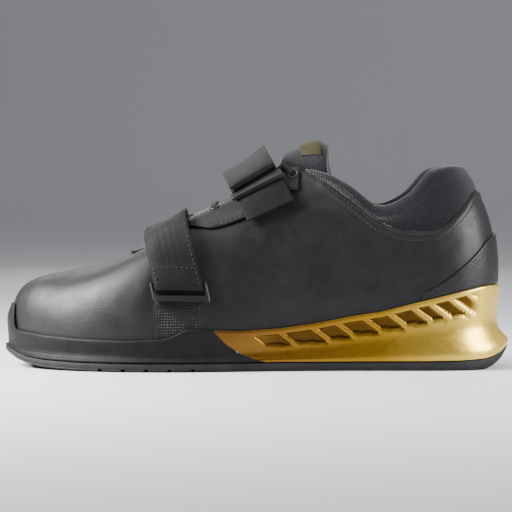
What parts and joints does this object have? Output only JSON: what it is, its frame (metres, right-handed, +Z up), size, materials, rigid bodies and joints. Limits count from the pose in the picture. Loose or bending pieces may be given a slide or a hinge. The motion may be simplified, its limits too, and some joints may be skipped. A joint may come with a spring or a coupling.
{
  "type": "weightlifting shoe",
  "caption": "Low-cut weightlifting shoe with a raised hard heel wedge, hook-and-loop straps over forefoot and instep, a padded collar and a flat rubber outsole.",
  "frame": {"origin": "on the floor under the middle of the heel", "axes": "+X towards the toe, +Y towards the outer side of the left foot, +Z up from the floor"},
  "size_m": [0.3003, 0.1075, 0.1338],
  "materials": {
    "outsole_rubber": "matte",
    "rand_rubber": "matte",
    "gold_plastic": "gloss",
    "insole_foam": "matte",
    "black_leather": "satin",
    "collar_textile": "matte",
    "tongue_textile": "matte",
    "lace_cord": "matte",
    "strap_fabric": "matte",
    "loop_plastic": "satin"
  },
  "bodies": {
    "root": {"outsole": "outsole_rubber", "forefoot_midsole": "rand_rubber", "heel_wedge": "gold_plastic", "insole": "insole_foam", "upper": "black_leather", "heel_counter": "black_leather", "collar_padding": "collar_textile", "eyestay": "black_leather", "tongue": "tongue_textile", "laces": "lace_cord", "front_strap": "strap_fabric", "front_loop": "loop_plastic", "instep_strap": "strap_fabric", "instep_loop": "loop_plastic", "instep_anchor": "strap_fabric"}
  },
  "joints": []
}
